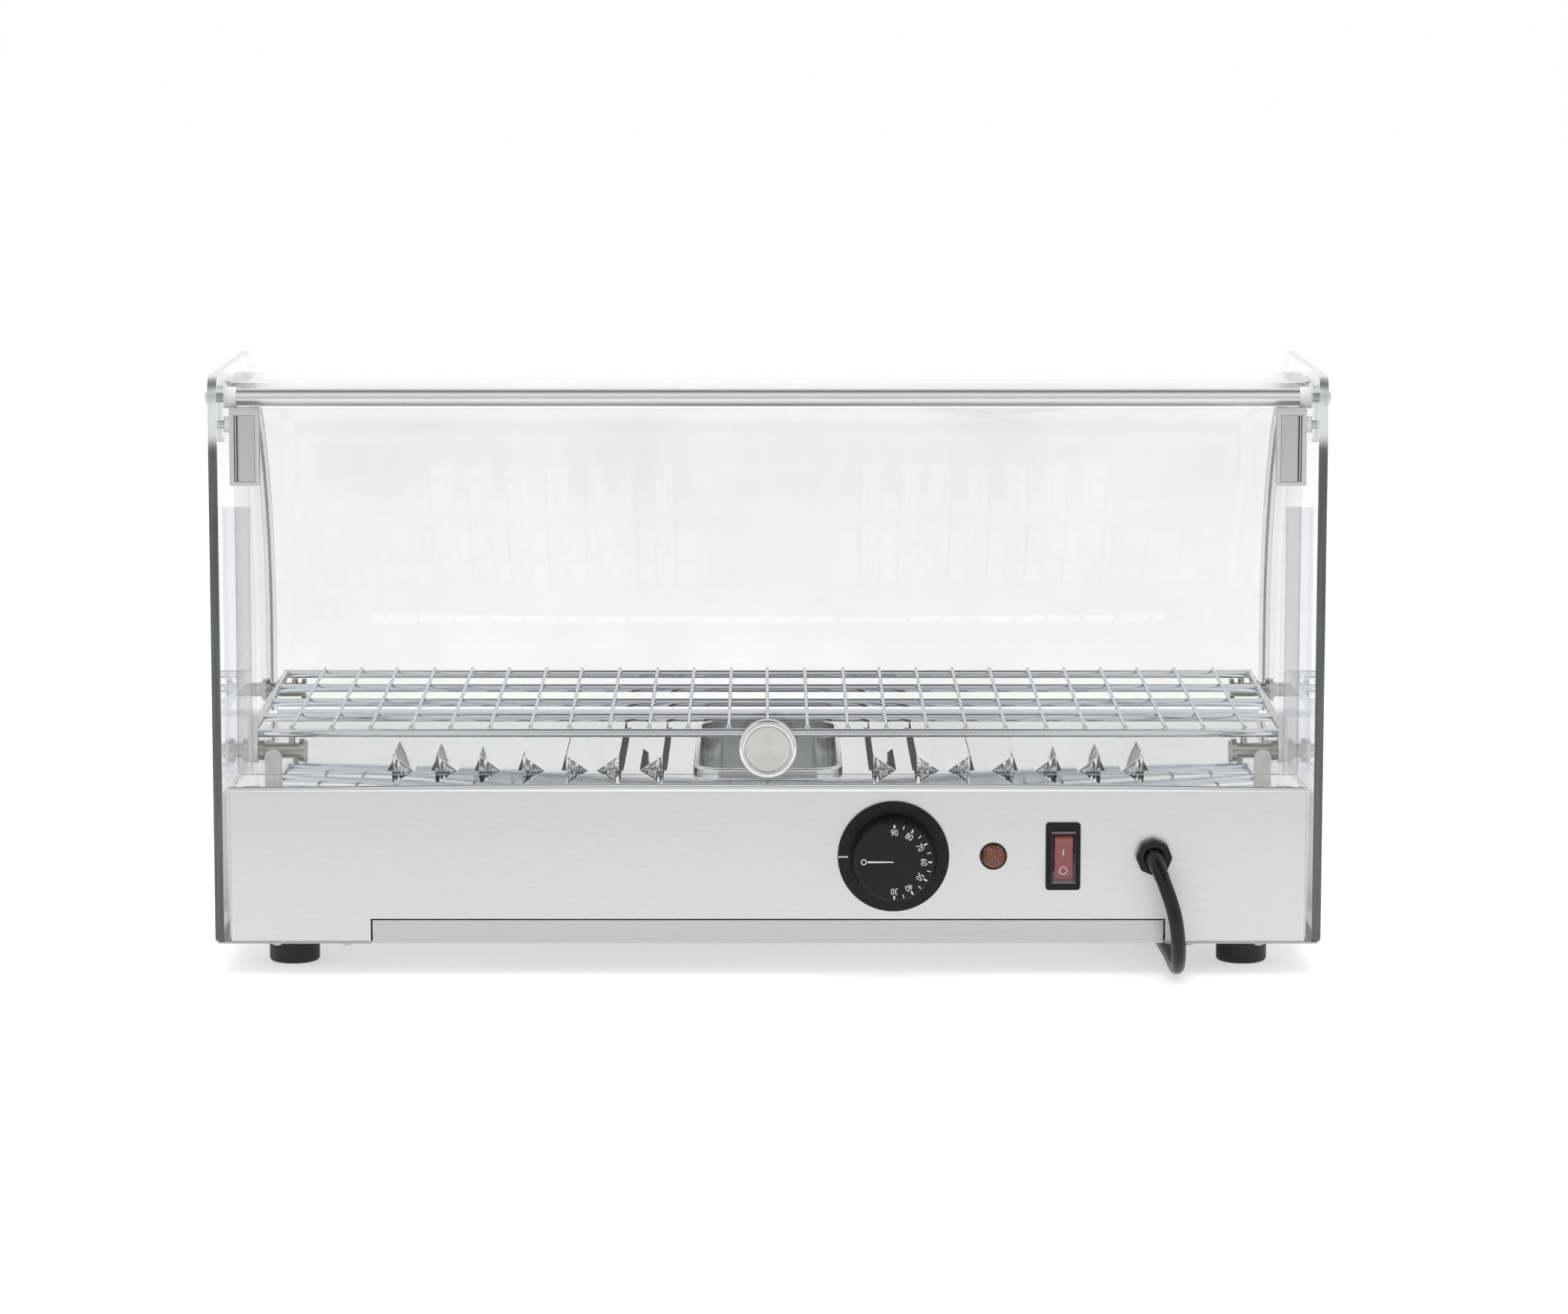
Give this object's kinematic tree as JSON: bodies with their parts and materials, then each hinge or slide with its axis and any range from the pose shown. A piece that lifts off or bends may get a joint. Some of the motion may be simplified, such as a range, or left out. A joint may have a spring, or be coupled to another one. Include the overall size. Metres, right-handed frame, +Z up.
{
  "type": "heated display case",
  "caption": "Countertop heated display case: glass box with a curved front over a steel base, flip-up rear door, wire rack, water pan, crumb drawer, thermostat and switch.",
  "frame": {"origin": "on the counter, under the middle of the case; the box is measured without the lead", "axes": "+Z up, +X to the operator's right, -Y towards the operator, +Y towards the customer"},
  "size_m": [0.627, 0.5025, 0.3375],
  "materials": {
    "glass_clear": "polished toughened glass",
    "steel_brushed": "lengthwise brushed stainless steel",
    "steel_mirror": "mirror-polished stainless steel",
    "steel_pan": "pressed bright stainless steel",
    "steel_plain": "mill-finish steel sheet",
    "knob_steel": "turned stainless steel",
    "tube_steel": "satin tube",
    "wire_chrome": "chrome-plated wire",
    "pin_steel": "turned stainless steel",
    "screw_steel": "zinc-plated",
    "clamp_cast": "cast with bright edges",
    "acrylic_clear": "clear acrylic",
    "nylon_white": "moulded white nylon",
    "pvc_clear": "clear extruded PVC",
    "silicone_milky": "milky silicone",
    "rubber_black": "moulded",
    "plastic_black": "moulded",
    "switch_black": "moulded",
    "switch_clear": "clear flexible PVC",
    "rocker_red": "moulded",
    "lens_amber": "moulded translucent lens",
    "heater_sheath": "heat-tinted sheath",
    "thermostat_case": "zinc-plated",
    "bulb_copper": "drawn copper",
    "lead_insulation": "silicone insulation",
    "cord_black": "rubber-sheathed lead",
    "plug_black": "moulded",
    "plug_nickel": "nickel-plated"
  },
  "bodies": {
    "case": {"side_glass_left": "glass_clear", "side_glass_right": "glass_clear", "front_glass": "glass_clear", "base_housing": "steel_brushed", "deck_plate": "steel_mirror", "bottom_plate": "steel_plain", "drawer_runners": "steel_plain", "heater_brackets": "steel_plain", "tie_tube": "tube_steel", "rack_pins_near": "pin_steel", "rack_pins_far": "pin_steel", "bottom_screws": "screw_steel", "foot_screws": "screw_steel", "tie_screws": "screw_steel", "bezel_screws": "screw_steel", "hinge_plates": "acrylic_clear", "tube_collars": "nylon_white", "rack_clips": "nylon_white", "terminal_block": "nylon_white", "pane_beads": "pvc_clear", "sill_strip": "pvc_clear", "side_bonds": "pvc_clear", "door_stops": "silicone_milky", "rubber_feet": "rubber_black", "thermostat_bezel": "plastic_black", "lamp_body": "plastic_black", "cord_gland": "plastic_black", "gland_nut": "plastic_black", "switch_frame": "switch_black", "switch_cover": "switch_clear", "lamp_lens": "lens_amber", "heater_element": "heater_sheath", "thermostat_body": "thermostat_case", "capillary_bulb": "bulb_copper", "inner_leads": "lead_insulation", "cord_lead": "cord_black", "cord_coil": "cord_black", "cord_tail": "cord_black", "plug_body": "plug_black", "plug_pins": "plug_nickel"},
    "door": {"door_glass": "glass_clear", "hinge_clamp_left": "clamp_cast", "hinge_clamp_right": "clamp_cast", "clamp_screws": "screw_steel", "hinge_washers": "nylon_white", "door_seal_left": "pvc_clear", "door_seal_right": "pvc_clear", "door_knob": "knob_steel", "knob_screw": "screw_steel"},
    "rack": {"wire_rack": "wire_chrome"},
    "pan": {"water_pan": "steel_pan"},
    "drawer": {"crumb_drawer": "steel_brushed"},
    "dial": {"thermostat_dial": "plastic_black", "thermostat_shaft": "screw_steel"},
    "rocker": {"switch_rocker": "rocker_red"}
  },
  "joints": [
    {"name": "door_flip", "type": "hinge", "parent": "case", "child": "door", "pos_m": [0, -0.1355, 0.3096], "axis": [-1, 0, 0], "range_deg": [0, 100]},
    {"name": "drawer_slide", "type": "slide", "parent": "case", "child": "drawer", "axis": [0, -1, 0], "range_m": [0, 0.24]},
    {"name": "dial_turn", "type": "hinge", "parent": "case", "child": "dial", "pos_m": [0.0703, -0.143, 0.0677], "axis": [0, 1, 0], "range_deg": [0, 270]},
    {"name": "switch_rock", "type": "hinge", "parent": "case", "child": "rocker", "pos_m": [0.1653, -0.1422, 0.0677], "axis": [-1, 0, 0], "range_deg": [0, 18]},
    {"name": "rack_lift", "type": "slide", "parent": "case", "child": "rack", "axis": [0, 0, 1], "range_m": [0, 0.1]},
    {"name": "pan_lift", "type": "slide", "parent": "case", "child": "pan", "axis": [0, 0, 1], "range_m": [0, 0.015]}
  ]
}
